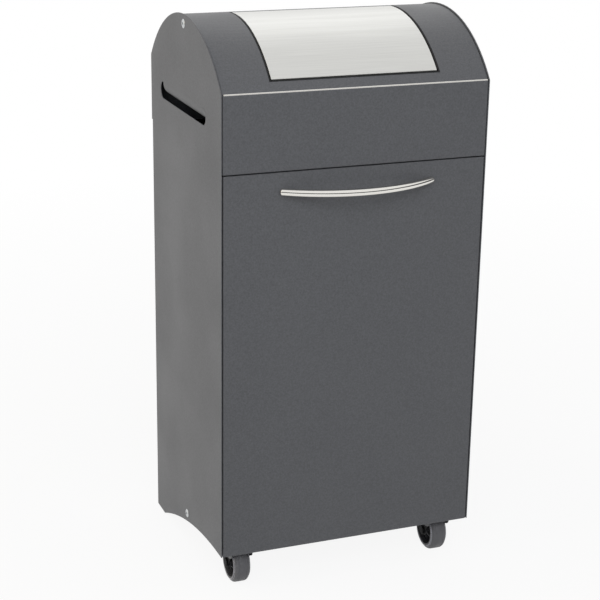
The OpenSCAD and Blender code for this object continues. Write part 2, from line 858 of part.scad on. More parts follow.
// Rectangle with round corners, grown by some margin, in plan
module liner_plan(margin) {
    r = liner_corner + margin;
    w = liner_w + 2 * margin;
    d = liner_d + 2 * margin;
    translate([0, liner_front + liner_d / 2]) {
        square([w - 2 * r, d], center = true);
        square([w, d - 2 * r], center = true);
        for (x = [-1, 1], y = [-1, 1])
            translate([x * (w / 2 - r), y * (d / 2 - r)]) circle(r);
    }
}

bail_y = liner_front + liner_d / 2;
bail_z = liner_top - bail_drop;
bail_x = liner_w / 2 + rim_t + bail_gap + bail_wire / 2;
bail_reach = liner_d / 2 + rim_t + bail_wire / 2 + 4;
// Angle at which the bail comes to rest against the liner's back
bail_rest = acos((liner_d / 2 + bail_wire / 2 + rest_gap) / bail_reach);

// Straight-sided galvanised tub with a doubled rim and two ears for its bail
module liner() {
    color(galvanised) from_front() difference() {
        union() {
            translate([0, 0, tray_top]) linear_extrude(liner_top - tray_top) liner_plan(0);
            translate([0, 0, liner_top - rim_h]) linear_extrude(rim_h) liner_plan(rim_t);
            for (side = [-1, 1]) on_side(side)
                translate([0, bail_y, bail_z]) rod_x(liner_w / 2 - liner_t, liner_w / 2 + rim_t, ear_r);
        }
        translate([0, 0, tray_top + liner_t]) linear_extrude(big) liner_plan(-liner_t);
        for (side = [-1, 1]) on_side(side)
            translate([0, bail_y, bail_z])
                rod_x(liner_w / 2 - 2 * liner_t, liner_w / 2 + rim_t + 1, bail_wire / 2 + run_fit);
    }
}

// Wire bail: two legs and a cross bar, with ends turned in through the ears
module liner_bail() {
    r = bail_wire / 2;
    straight = bail_reach - bail_bend;
    end_x = liner_w / 2 - liner_t - 5;
    color(galvanised) from_front() translate([0, bail_y, bail_z]) rotate([-bail_rest, 0, 0]) {
        translate([-bail_x + bail_bend, bail_reach, 0]) rod_x(0, 2 * (bail_x - bail_bend), r);
        for (side = [-1, 1]) on_side(side) {
            rod_x(end_x, bail_x, r);
            translate([bail_x, 0, 0]) sphere(r);
            translate([bail_x, 0, 0]) rotate([-90, 0, 0]) cylinder(r = r, h = straight);
            translate([bail_x - bail_bend, straight, 0])
                rotate_extrude(angle = 90) translate([bail_bend, 0]) circle(r);
        }
    }
}

left_side_panel();
right_side_panel();
hood();
left_hood_rail();
right_hood_rail();
fascia();
left_jamb();
right_jamb();
back_panel();
base_pan();
upper_cross_rod();
lower_cross_rod();
cross_rod_screws();
back_rivets();
foot_pads();
door_hinge_pins();
magnet_catch();
left_wheel_cover();
right_wheel_cover();
left_wheel_fork();
right_wheel_fork();
wheel_axles();
left_tyre();
left_hub();
right_tyre();
right_hub();
flap_panel();
flap_backing();
left_flap_arm();
right_flap_arm();
left_flap_spring();
right_flap_spring();
spring_collars();
door_panel();
door_handle();
handle_screws();
left_hinge_plate();
right_hinge_plate();
left_cheek();
right_cheek();
liner_tray();
liner();
liner_bail();
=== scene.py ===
"""Recycling bin of folded sheet steel: every surface's finish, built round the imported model."""

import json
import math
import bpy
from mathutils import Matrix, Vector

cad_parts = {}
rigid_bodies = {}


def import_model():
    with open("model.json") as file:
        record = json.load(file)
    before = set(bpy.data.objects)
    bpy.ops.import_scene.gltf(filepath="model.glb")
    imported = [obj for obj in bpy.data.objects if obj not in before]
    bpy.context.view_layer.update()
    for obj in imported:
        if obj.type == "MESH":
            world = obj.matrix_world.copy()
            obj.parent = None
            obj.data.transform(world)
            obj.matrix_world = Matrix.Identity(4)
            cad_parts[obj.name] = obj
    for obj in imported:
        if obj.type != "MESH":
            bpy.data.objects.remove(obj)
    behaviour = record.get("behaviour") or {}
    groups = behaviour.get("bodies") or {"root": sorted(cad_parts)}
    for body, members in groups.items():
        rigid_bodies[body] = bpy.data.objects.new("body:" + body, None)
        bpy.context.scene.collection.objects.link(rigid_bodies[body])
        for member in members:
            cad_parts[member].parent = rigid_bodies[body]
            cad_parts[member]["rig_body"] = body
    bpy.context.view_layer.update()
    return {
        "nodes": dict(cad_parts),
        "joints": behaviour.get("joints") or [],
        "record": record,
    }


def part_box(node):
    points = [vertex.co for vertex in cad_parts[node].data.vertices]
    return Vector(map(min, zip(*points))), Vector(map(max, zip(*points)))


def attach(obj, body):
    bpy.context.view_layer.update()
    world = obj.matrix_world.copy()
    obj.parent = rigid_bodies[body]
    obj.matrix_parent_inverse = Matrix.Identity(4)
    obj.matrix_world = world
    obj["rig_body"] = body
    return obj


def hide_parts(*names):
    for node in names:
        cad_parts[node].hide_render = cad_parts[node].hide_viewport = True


bl_info = {
    "name": "Recycling bin",
    "version": (1, 0, 0),
    "blender": (4, 5, 0),
    "location": "3D View > Sidebar > Bin",
    "description": "Dresses a sheet-steel recycling bin with push flap, tilting door and liner",
    "category": "Object",
}

import bmesh
import bpy
import numpy as np
from bpy.props import FloatProperty, FloatVectorProperty, IntProperty, PointerProperty
from mathutils import Vector

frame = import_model()

MM = 0.001
SIDES = {"left": -1, "right": 1}
FULL_TURN = 2 * math.pi


def linear(code):
    """Linear red, green and blue of an sRGB hex colour."""
    values = [int(code[i : i + 2], 16) / 255 for i in (1, 3, 5)]
    return tuple(v / 12.92 if v <= 0.04045 else ((v + 0.055) / 1.055) ** 2.4 for v in values)


def colour(name, description, code):
    return FloatVectorProperty(
        name=name, description=description, subtype="COLOR", min=0, max=1, default=linear(code)
    )


def length(name, description, millimetres):
    return FloatProperty(
        name=name, description=description, unit="LENGTH", min=0, precision=5,
        default=millimetres * MM,
    )


def angle(name, description, degrees):
    return FloatProperty(
        name=name, description=description, subtype="ANGLE", default=math.radians(degrees)
    )


def power(name, description, watts):
    return FloatProperty(name=name, description=description, unit="POWER", min=0, default=watts)


def count(name, description, default, least=1):
    return IntProperty(name=name, description=description, default=default, min=least)


class BinSizes(bpy.types.PropertyGroup):
    """Sizes of the finish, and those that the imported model's boxes don't give."""

    fold_round: length("Fold radius", "Outer radius where the sheet is folded", 1.2)
    cut_round: length("Cut edge radius", "Rounding of a coated cut edge", 0.3)
    panel_round: length("Panel edge radius", "Rounding of the side panels' free edges", 0.6)
    small_round: length("Small edge radius", "Rounding of pins, pads and moulded parts", 0.4)
    ledge_bead: length("Ledge bead", "Radius of the bright bead along the fascia's ledge", 1.1)
    slot_roll: length("Slot roll", "Lean of the edge rolled in over each hand slot", 9)
    hood_radius: length("Hood radius", "Outer radius of the arched hood", 198)
    mouth_half: length("Mouth half-width", "Half of the width of the flap's opening", 120)
    mouth_seal: length("Mouth seal", "Thickness of the edging round the flap's opening", 1.2)
    seal_lap: length("Seal lap", "Lap of the edging over the hood's sheet", 0.9)
    bar_flat: length("Handle flat", "Depth of the handle's flats at the door", 2.5)
    bar_ease: length("Handle easing", "Rounding of the handle's ends", 1.6)
    screw_head: length("Screw head", "Diameter of the domed screws in the side panels", 12.5)
    screw_socket: length("Screw socket", "Width of the hexagon in the domed screws", 4)
    rivet_head: length("Rivet head", "Diameter of the rivets' domes", 7)
    rivets: count("Rivets", "Rivets down each edge of the back panel", 4, 2)
    spring_wire: length("Spring wire", "Diameter of the springs' wire", 1.8)
    spring_turns: count("Spring turns", "Turns of each return spring", 6)
    tyre_shoulder: length("Tyre shoulder", "Radius of the tyres' shoulders", 5.4)
    tyre_lip: length("Tyre lip", "Radius of the lip where each tyre closes on its rim", 1.1)
    hub_reach: length("Hub reach", "Reach of the rim's dish under the tyre's lip", 1.4)
    skirt_drop: length("Skirt drop", "Drop of the wheel covers' rounded skirts", 10)
    groove_depth: length("Groove depth", "Depth of the moulded grooves round the tyres", 0.5)
    hub_ribs: count("Hub ribs", "Ribs in the dish of each hub", 6, 3)
    liner_wall: length("Liner wall", "Thickness of the liner's sheet", 1)
    liner_rim: length("Liner rim", "Reach of the liner's rolled rim", 2)
    liner_corner: length("Liner corner", "Radius of the liner's upright corners", 12)
    liner_bead: length("Liner bead", "Height of the liner's pressed beads", 1.4)
    bail_wire: length("Bail wire", "Diameter of the bail's wire", 5)
    bail_bend: length("Bail bend", "Radius of the bail's two wide bends", 16)


class BinColours(bpy.types.PropertyGroup):
    """Colours of the finishes, as they look under plain light."""

    coat: colour("Coat", "Anthracite powder coat", "#595A5D")
    stainless: colour("Stainless", "Brushed stainless steel", "#D4D4D1")
    polished: colour("Polished bar", "Polished steel of the handle", "#E2E0DB")
    zinc: colour("Zinc", "Bright zinc plate", "#C4C7C8")
    spangle: colour("Galvanised", "Hot-dip galvanised sheet", "#A3A9AD")
    tyre: colour("Tyre", "Grey thermoplastic rubber", "#5D5D60")
    # Also the flap's backing, whose black is painted shade for the gap round the flap
    oxide: colour("Oxide", "Blackened steel", "#0D0D0E")
    plastic: colour("Plastic", "Black moulded polyamide", "#2B2B2D")
    # The black of the edging round the flap's opening is painted shade, for the shadow in the gap
    # there
    rubber: colour("Rubber", "Black rubber of the seal and the foot pads", "#161617")
    floor: colour("Floor", "Studio floor", "#F4F4F4")


class BinStage(bpy.types.PropertyGroup):
    """Where the camera stands, and how strong the lamps are."""

    azimuth: angle("Azimuth", "Camera's turn round the bin, to its left below 0", -21.3)
    elevation: angle("Elevation", "Camera's height as an angle", 18.6)
    distance: length("Distance", "Camera to its aim", 2303)
    lens: FloatProperty(
        name="Lens", description="Focal length on a 36 mm sensor", unit="CAMERA", default=96
    )
    aim: FloatVectorProperty(
        name="Aim", description="Point in the middle of the view", subtype="TRANSLATION",
        unit="LENGTH", default=(-0.0243, 0, 0.3764),
    )
    roll: angle("Roll", "Turn about the line of sight", 0.92)
    top_watts: power("Top", "Softbox over the back of the bin", 8)
    front_watts: power("Front", "Wide soft fill in front", 38)
    side_watts: power("Side", "Warm softbox at the bin's left", 17)


# Node trees

NOISE = "ShaderNodeTexNoise"
RANGE = "ShaderNodeMapRange"
MIX = "ShaderNodeMix"
BUMP = "ShaderNodeBump"
MATH = "ShaderNodeMath"
# Most of a noise lies between these values
MIDDLE = {"From Min": 0.3, "From Max": 0.7}
# A mix of colours takes its share on input 0 and its colours on 6 and 7
OF_COLOURS = {"out": 2, "data_type": "RGBA"}


def add(tree, kind, inputs=(), out=0, **settings):
    """Adds a node with its settings and gives one of its outputs.

    An input is a value, or another node's output to link.
    """
    made = tree.nodes.new(kind)
    for key, value in settings.items():
        setattr(made, key, value)
    for key, value in dict(inputs).items():
        if isinstance(value, bpy.types.NodeSocket):
            tree.links.new(value, made.inputs[key])
        else:
            made.inputs[key].default_value = value
    return made.outputs[out] if made.outputs else None


def per_mm(*sizes):
    """Scale, on coordinates in metres, of a pattern whose features are so many mm wide."""
    scales = tuple(1 / (size * MM) for size in sizes)
    return scales if len(scales) > 1 else scales[0]


def shade(rgb, factor):
    """A colour made lighter or darker, with its alpha."""
    return (*(min(1, c * factor) for c in rgb), 1)


# Finishes: each gives the surface shader's sockets, and up to three patterns for them.
# Shades is a share and two factors, and mixes two shades of the colour by the share.
# Gloss is a noise and two roughnesses, one for its low places and one for its high ones.
# Relief is a height, its depth in millimetres and its strength.


def powder_coated_steel(tree, place, rgb):
    """Polyester powder baked on sheet steel: satin, with orange peel and a fine pigment grain."""
    # Peel is about 1 mm wide; drawn at 1.8 mm so that it shows from where the camera stands
    peel = add(tree, NOISE, {"Vector": place, "Scale": per_mm(1.8), "Detail": 1.0})
    # Pigment is far finer; drawn at 2.2 mm, about one and a half pixels of the picture
    specks_of = {"Vector": place, "Scale": per_mm(2.2), "Detail": 2.0, "Roughness": 0.6}
    grain = add(tree, NOISE, specks_of)
    cloud = add(tree, NOISE, {"Vector": place, "Scale": per_mm(110)})
    specks = add(tree, RANGE, {"Value": grain, **MIDDLE})
    return {
        "Shades": (specks, 0.84, 1.16),
        "Gloss": (cloud, 0.42, 0.5),
        "Specular IOR Level": 0.45,
        "Relief": (peel, 0.03, 0.5),
    }


def brushed_stainless_steel(tree, place, rgb):
    """Stainless sheet, belt-ground across the bin: long hairlines and a soft glare across them."""
    # Hairlines are under 0.1 mm wide; drawn 0.7 mm wide and 90 mm long so that they show
    along = add(tree, "ShaderNodeMapping", {"Vector": place, "Scale": per_mm(90, 0.7, 0.7)})
    hair = add(tree, NOISE, {"Vector": along, "Scale": 1.0, "Detail": 3.0})
    # The belt presses unevenly, in bands of about 9 mm that run the sheet's length
    bands = add(tree, "ShaderNodeMapping", {"Vector": place, "Scale": per_mm(400, 9, 9)})
    pressure = add(tree, NOISE, {"Vector": bands, "Scale": 1.0, "Detail": 1.0})
    lines = add(tree, RANGE, {"Value": hair, **MIDDLE})
    return {
        "Shades": (lines, 0.94, 1.05),
        "Metallic": 1.0,
        "Gloss": (pressure, 0.36, 0.44),
        "Relief": (hair, 0.02, 0.3),
    }


def polished_steel_bar(tree, place, rgb):
    """Steel bar, ground and buffed: sharp bright bands along the bar, with faint lines round it."""
    # Buffing lines are finer than 0.1 mm; drawn 1.2 mm apart
    round_bar = add(tree, "ShaderNodeMapping", {"Vector": place, "Scale": per_mm(1.2, 30, 30)})
    lines = add(tree, NOISE, {"Vector": round_bar, "Scale": 1.0})
    return {
        "Base Color": shade(rgb, 1),
        "Metallic": 1.0,
        "Gloss": (lines, 0.07, 0.12),
        "Relief": (lines, 0.01, 0.1),
    }


def hot_dip_galvanised_steel(tree, place, rgb):
    """Sheet dipped in molten zinc: feathery 9 mm crystals, each of its own grey and gloss."""
    crystal = add(tree, "ShaderNodeTexVoronoi", {"Vector": place, "Scale": per_mm(9)}, "Color")
    grey, gloss = [
        add(tree, "ShaderNodeSeparateColor", {"Color": crystal}, band) for band in ("Red", "Green")
    ]
    # A crystal's arms are about 0.5 mm wide; drawn at 1.6 mm so that they show
    arms = {"Vector": place, "Scale": per_mm(1.6), "Detail": 4.0, "Roughness": 0.7}
    feather = add(tree, NOISE, arms)
    tone = add(tree, MIX, {0: grey, 6: shade(rgb, 0.82), 7: shade(rgb, 1.12)}, **OF_COLOURS)
    veil = add(tree, RANGE, {"Value": feather, **MIDDLE, "To Max": 0.35})
    return {
        "Base Color": add(tree, MIX, {0: veil, 6: tone, 7: shade(rgb, 0.95)}, **OF_COLOURS),
        "Metallic": 1.0,
        "Roughness": add(tree, RANGE, {"Value": gloss, "To Min": 0.32, "To Max": 0.55}),
        "Relief": (feather, 0.03, 0.3),
    }


def zinc_plated_steel(tree, place, rgb):
    """Electroplated zinc on steel: bright, even and a little cloudy."""
    cloud = add(tree, NOISE, {"Vector": place, "Scale": per_mm(5), "Detail": 3.0})
    # Plated grains are finer than 0.1 mm; drawn at 0.8 mm
    grain = add(tree, NOISE, {"Vector": place, "Scale": per_mm(0.8)})
    return {
        "Shades": (cloud, 0.9, 1.05),
        "Metallic": 1.0,
        "Gloss": (cloud, 0.25, 0.38),
        "Relief": (grain, 0.01, 0.2),
    }


def black_oxide_steel(tree, place, rgb):
    """Steel blackened in a hot salt bath: dark, dry and slightly mottled."""
    blots = {"Vector": place, "Scale": per_mm(4), "Detail": 4.0, "Roughness": 0.6}
    mottle = add(tree, NOISE, blots)
    return {
        "Shades": (mottle, 0.7, 1.6),
        "Gloss": (mottle, 0.62, 0.75),
        "Specular IOR Level": 0.2,
        "Relief": (mottle, 0.02, 0.3),
    }


def moulded_polyamide(tree, place, rgb):
    """Polyamide moulded in a spark-eroded tool: fine even grain, dull shine."""
    # Spark grain is about 0.2 mm; drawn 0.6 mm wide so that it shows
    grain = add(tree, NOISE, {"Vector": place, "Scale": per_mm(0.6)})
    return {
        "Shades": (grain, 0.85, 1.2),
        "Roughness": 0.52,
        "IOR": 1.53,
        "Relief": (grain, 0.03, 0.35),
    }


def grey_thermoplastic_rubber(tree, place, rgb):
    """Thermoplastic rubber, moulded smooth: soft shine, scuffed here and there, and with a painted
    highlight on the lips beside the rims, which is where x lies farthest from the middle of either
    tyre."""
    scuffs = {"Vector": place, "Scale": per_mm(7), "Detail": 5.0, "Roughness": 0.65}
    scuff = add(tree, NOISE, scuffs)
    # The mould's grain is about 0.2 mm wide; drawn at 0.7 mm
    grain = add(tree, NOISE, {"Vector": place, "Scale": per_mm(0.7)})
    marks = add(tree, RANGE, {"Value": scuff, **MIDDLE})
    tread = add(tree, MIX, {0: marks, 6: shade(rgb, 0.9), 7: shade(rgb, 1.08)}, **OF_COLOURS)
    low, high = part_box("right_tyre")
    middle, half = (low.x + high.x) / 2, (high.x - low.x) / 2
    # Painted highlight: the outer 1.2 mm of each lip is 3.4 times paler, fading in over the half
    # millimetre inside it
    starts, full, painted_highlight = half - 1.7 * MM, half - 1.2 * MM, 3.4
    across = add(tree, "ShaderNodeSeparateXYZ", {"Vector": place}, "X")
    from_bin = add(tree, MATH, {0: across}, operation="ABSOLUTE")
    from_middle = add(tree, MATH, {0: from_bin, 1: middle}, operation="SUBTRACT")
    outwards = add(tree, MATH, {0: from_middle}, operation="ABSOLUTE")
    lip = add(tree, RANGE, {"Value": outwards, "From Min": starts, "From Max": full})
    return {
        "Base Color": add(tree, MIX, {0: lip, 6: tread, 7: shade(rgb, painted_highlight)}, **OF_COLOURS),
        "Gloss": (scuff, 0.4, 0.55),
        "IOR": 1.5,
        "Relief": (grain, 0.03, 0.3),
    }


def moulded_black_rubber(tree, place, rgb):
    """Black rubber, moulded: matt, with a slight bloom."""
    bloom = add(tree, NOISE, {"Vector": place, "Scale": per_mm(6), "Detail": 4.0})
    # The mould's grain is about 0.3 mm wide; drawn at 0.9 mm
    grain = add(tree, NOISE, {"Vector": place, "Scale": per_mm(0.9)})
    return {
        "Shades": (bloom, 0.8, 1.5),
        "Roughness": 0.78,
        "IOR": 1.52,
        "Relief": (grain, 0.04, 0.4),
    }


# Slot of the record: its maker, which names the material, and its colour
FINISHES = {
    "powder_coat": (powder_coated_steel, "coat"),
    "brushed_stainless": (brushed_stainless_steel, "stainless"),
    "polished_steel": (polished_steel_bar, "polished"),
    "galvanised_steel": (hot_dip_galvanised_steel, "spangle"),
    "zinc_plated_steel": (zinc_plated_steel, "zinc"),
    "black_steel": (black_oxide_steel, "oxide"),
    "black_plastic": (moulded_polyamide, "plastic"),
    "grey_tyre": (grey_thermoplastic_rubber, "tyre"),
    "rubber": (moulded_black_rubber, "rubber"),
}
SLOT_OF = {part["node"]: part["material_slot"] for part in frame["record"]["subparts"]}
made_finishes = {}


def empty_tree(owner):
    """Turns nodes on for a material or world and clears them."""
    owner.use_nodes = True
    owner.node_tree.nodes.clear()
    return owner.node_tree


def finish_for(slot):
    """The finish of one of the record's slots, made once, with patterns on Object coordinates."""
    if slot not in made_finishes:
        maker, colour_name = FINISHES[slot]
        material = bpy.data.materials.new(maker.__name__)
        tree = empty_tree(material)
        place = add(tree, "ShaderNodeTexCoord", out="Object")
        rgb = tuple(getattr(bpy.context.scene.bin_colours, colour_name))
        sockets = maker(tree, place, rgb)
        if "Shades" in sockets:
            share, dark, light = sockets.pop("Shades")
            shades = {0: share, 6: shade(rgb, dark), 7: shade(rgb, light)}
            sockets["Base Color"] = add(tree, MIX, shades, **OF_COLOURS)
        if "Gloss" in sockets:
            noise, low, high = sockets.pop("Gloss")
            spread = {"Value": noise, **MIDDLE, "To Min": low, "To Max": high}
            sockets["Roughness"] = add(tree, RANGE, spread)
        height, depth, strength = sockets.pop("Relief")
        relief = {"Height": height, "Distance": depth * MM, "Strength": strength}
        sockets["Normal"] = add(tree, BUMP, relief)
        surface = add(tree, "ShaderNodeBsdfPrincipled", sockets)
        add(tree, "ShaderNodeOutputMaterial", {"Surface": surface})
        made_finishes[slot] = material
    return made_finishes[slot]


def in_scene(name, data):
    """A new object in the scene, from its mesh, lamp or camera."""
    made = bpy.data.objects.new(name, data)
    bpy.context.scene.collection.objects.link(made)
    return made


# Meshes

# Faces that meet at less than this angle shade as one
SMOOTH_BELOW = math.radians(35)
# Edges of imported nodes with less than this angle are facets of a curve, and stay as they are
ROUND_FROM = math.radians(25)
# Packed triangles that meet at less than this angle are one flat face
FLAT_BELOW = math.radians(0.4)


def hand_over(name, mesh, work, body, slot, replaces=()):
    """Puts an edited mesh in the scene, on a body, in a slot's finish, for nodes it replaces."""
    work.to_mesh(mesh)
    work.free()
    mesh.shade_smooth()
    mesh.set_sharp_from_angle(angle=SMOOTH_BELOW)
    mesh.materials.clear()
    mesh.materials.append(finish_for(slot))
    piece = in_scene(name, mesh)
    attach(piece, body)
    if replaces:
        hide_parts(*replaces)
    return piece


def new_piece(name, parts, body, slot, replaces=()):
    """A smooth closed mesh from pairs of points and quads, welded, with its faces outwards."""
    clouds = [points.reshape(-1, 3) for points, _ in parts]
    firsts = np.cumsum([0] + [len(cloud) for cloud in clouds])
    points = np.concatenate(clouds)
    faces = np.concatenate([quads.reshape(-1, 4) + n for (_, quads), n in zip(parts, firsts)])
    mesh = bpy.data.meshes.new(name)
    mesh.from_pydata(points, [], faces.tolist())
    work = bmesh.new()
    work.from_mesh(mesh)
    bmesh.ops.remove_doubles(work, verts=work.verts, dist=0.001 * MM)
    bmesh.ops.dissolve_degenerate(work, edges=work.edges, dist=0.0001 * MM)
    bmesh.ops.recalc_face_normals(work, faces=work.faces)
    hand_over(name, mesh, work, body, slot, replaces)


def turns(steps):
    """Angles spaced evenly round a full turn."""
    return np.arange(steps) * FULL_TURN / steps


def quarter(steps):
    """Angles from 0 to a quarter turn."""
    return np.radians(np.linspace(0, 90, steps))


def points_at(x, y, z):
    """Points from their coordinates, spread to one shape."""
    return np.stack(np.broadcast_arrays(x, y, z), -1)


def grid_faces(rows, columns):
    """Quads of a grid whose columns close on themselves."""
    r, c = np.meshgrid(np.arange(rows - 1), np.arange(columns), indexing="ij")
    n = (c + 1) % columns
    quads = [r * columns + c, r * columns + n, (r + 1) * columns + n, (r + 1) * columns + c]
    return np.stack(quads, -1).reshape(-1, 4)


def lathe(profile, centre, steps, hexagon=0):
    """Surface of revolution about an X axis through centre.

    profile is rows of distance along X and radius. Row i and turn t give the point
    centre + (x_i, r_i sin t, r_i cos t). In the last rows, as many as hexagon says, the radius is
    that of a hexagon with r_i as its inner radius: r_i / cos(t - nearest sixth of a turn).
    """
    x, r = np.asarray(profile, float).T
    turn = turns(steps)
    off = turn - np.round(turn * 6 / FULL_TURN) * FULL_TURN / 6
    share = np.arange(len(x)) >= len(x) - hexagon
    radius = r[:, None] * (1 + share[:, None] * (1 / np.cos(off) - 1))
    points = points_at(x[:, None], radius * np.sin(turn), radius * np.cos(turn))
    return points + np.array(centre), grid_faces(len(x), steps)


def arc_profile(cx, cr, radius, start, end, steps):
    """Rows (cx + radius cos a, cr + radius sin a), with a from start to end in degrees."""
    a = np.radians(np.linspace(start, end, steps))
    return np.stack([cx + radius * np.cos(a), cr + radius * np.sin(a)], -1)


def capped(rings):
    """Closes a tube of rings with a point in the middle of each end."""
    ends = [np.broadcast_to(ring.mean(0), ring.shape)[None] for ring in (rings[0], rings[-1])]
    full = np.concatenate([ends[0], rings, ends[1]])
    return full, grid_faces(len(full), rings.shape[1])


def tube(path, radius, across, steps=16):
    """Round wire along a path.

    Point i and turn t give path_i + radius (cos t across_i + sin t side_i), where across_i is
    square to the path and side_i is square to both.
    """
    across = np.broadcast_to(across, path.shape)
    side = np.cross(np.gradient(path, axis=0), across)
    side /= np.linalg.norm(side, axis=1)[:, None]
    turn = turns(steps)[:, None]
    spoke = np.cos(turn) * across[:, None] + np.sin(turn) * side[:, None]
    return capped(path[:, None] + radius * spoke)


def rounded_copies(nodes, cut, fold=0):
    """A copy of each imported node, with rounded edges.

    Its triangles are welded and its flat faces joined. An edge beside a face narrower than sheet
    is a cut edge; an edge between two wide faces is a fold, and where no radius is given for folds
    it gets that of a cut edge. A face's width is about twice its area over its edge's length.
    Edges that run on almost straight, by the cosine between their ways from the corner, share the
    smaller radius.
    """
    sheet, almost_straight = 2.2 * MM, -0.85
    fold = fold or cut
    largest = max(cut, fold)
    for node in nodes:
        source = frame["nodes"][node]
        mesh = source.data.copy()
        mesh.name = node + "_dressed"
        work = bmesh.new()
        work.from_mesh(mesh)
        bmesh.ops.remove_doubles(work, verts=work.verts, dist=0.002 * MM)
        bmesh.ops.dissolve_limit(work, angle_limit=FLAT_BELOW, verts=work.verts, edges=work.edges)
        weight = work.edges.layers.float.new("bevel_weight_edge")
        width = {f: f.calc_area() * 2 / max(f.calc_perimeter(), 1e-9) for f in work.faces}
        for edge in work.edges:
            if len(edge.link_faces) == 2 and edge.calc_face_angle(0) > ROUND_FROM:
                narrow = min(width[face] for face in edge.link_faces) < sheet
                edge[weight] = (cut if narrow else fold) / largest
        for edge in work.edges:
            for end in edge.verts:
                away = (edge.other_vert(end).co - end.co).normalized()
                for other in end.link_edges:
                    onwards = (other.other_vert(end).co - end.co).normalized()
                    straight = onwards.dot(away) < almost_straight
                    if straight and edge[weight] and other[weight]:
                        edge[weight] = other[weight] = min(edge[weight], other[weight])
        piece = hand_over(mesh.name, mesh, work, source["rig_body"], SLOT_OF[node], [node])
        bevel = piece.modifiers.new("Round", "BEVEL")
        bevel.width = largest
        bevel.segments = 2
        bevel.limit_method = "WEIGHT"
        bevel.use_clamp_overlap = False
        bevel.miter_outer = "MITER_ARC"
        # Closes the hairline faces that a bevel leaves where its rounds run together
        piece.modifiers.new("Weld", "WELD").merge_threshold = 0.005 * MM
        # Flat sheet shades flat: a corner's normal follows the largest face that meets there
        normals = piece.modifiers.new("Flat sheet", "WEIGHTED_NORMAL")
        normals.keep_sharp = True
        normals.weight = 100


def centre_of(node):
    low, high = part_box(node)
    return (low + high) / 2


def joint_place(name):
    """Where a joint's axis lies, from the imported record."""
    return next(Vector(j["pos_m"]) for j in frame["joints"] if j["name"] == name)


# Pieces


class BIN_OT_sheets(bpy.types.Operator):
    """Powder-coated sheet: panels, hood, fascia, door and what is folded from the same steel"""

    bl_idname = "bin.sheets"
    bl_label = "Coated sheet"

    def execute(self, context):
        sizes = context.scene.bin_sizes
        rounded_copies(["left_side_panel", "right_side_panel"], sizes.panel_round)
        parts = ("hood_rail", "jamb", "wheel_cover", "cheek")
        pairs = [f"{side}_{part}" for side in SIDES for part in parts]
        rounded_copies(pairs, sizes.cut_round, sizes.fold_round * 0.7)
        wide = ["hood", "fascia", "door_panel", "back_panel", "base_pan", "liner_tray"]
        rounded_copies(wide, sizes.cut_round, sizes.fold_round)
        self.bead(sizes.ledge_bead)
        for side, way in SIDES.items():
            self.roll(side, way, sizes.slot_roll)
        return {"FINISHED"}

    def roll(self, side, way, lean):
        """The panel's edge rolled inwards over its hand slot.

        At y the slot's upper edge is at top, straight but for a quarter circle at the front. Turn t
        from 0 to 90 degrees goes inwards and down a quarter ellipse: x = edge - a (1 - cos t) and
        z = top - b sin t, with b = top - low and a = lean b / b_max. The inner face is the same
        ellipse with both half axes shorter by the wall.
        """
        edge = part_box("right_side_panel")[1].x - 0.05 * MM
        front, back, middle, radius, low = -75 * MM, 118.5 * MM, 668.5 * MM, 12 * MM, 664.3 * MM
        wall = 1.2 * MM
        bend = front + radius * (1 - np.cos(quarter(17)))
        y = np.concatenate([bend, np.linspace(bend[-1], back, 40)[1:]])
        top = middle + np.sqrt(np.maximum(radius**2 - np.minimum(y - front - radius, 0) ** 2, 0))
        b = (top - low)[:, None]
        a = lean * b / b.max()
        t = quarter(15)
        faces = []
        for inset in (0, wall):
            x = way * (edge - a + (a - inset) * np.cos(t))
            faces.append(points_at(x, y[:, None], top[:, None] - (b - inset) * np.sin(t)))
        rings = np.concatenate([faces[0], faces[1][:, ::-1]], 1)
        flat = (faces[0] + faces[1]) / 2
        ends = np.concatenate([flat, flat[:, ::-1]], 1)
        rings = np.concatenate([ends[:1], rings, ends[-1:]])
        sheet = rings, grid_faces(*rings.shape[:2])
        new_piece(side + "_slot_roll", [sheet], "housing", "powder_coat")

    def bead(self, radius):
        """Half-round bead on the fascia's ledge, in the corner under the hood.

        Along X at every place, turn t gives (x, y + r cos t, z + r sin t). Over the last
        millimetre at each end the radius falls to nothing along a quarter circle.
        """
        low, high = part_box("fascia")
        along = np.linspace(low.x + 0.4 * MM, high.x - 0.4 * MM, 400)
        edge = np.clip(np.minimum(along - along[0], along[-1] - along) / MM, 0, 1)
        size = (radius * np.sqrt(1 - (1 - edge) ** 2))[:, None]
        turn = turns(16)
        y = low.y + radius + size * np.cos(turn)
        rings = points_at(along[:, None], y, high.z + 0.1 * MM + size * np.sin(turn))
        new_piece("ledge_bead", [capped(rings)], "housing", "polished_steel")


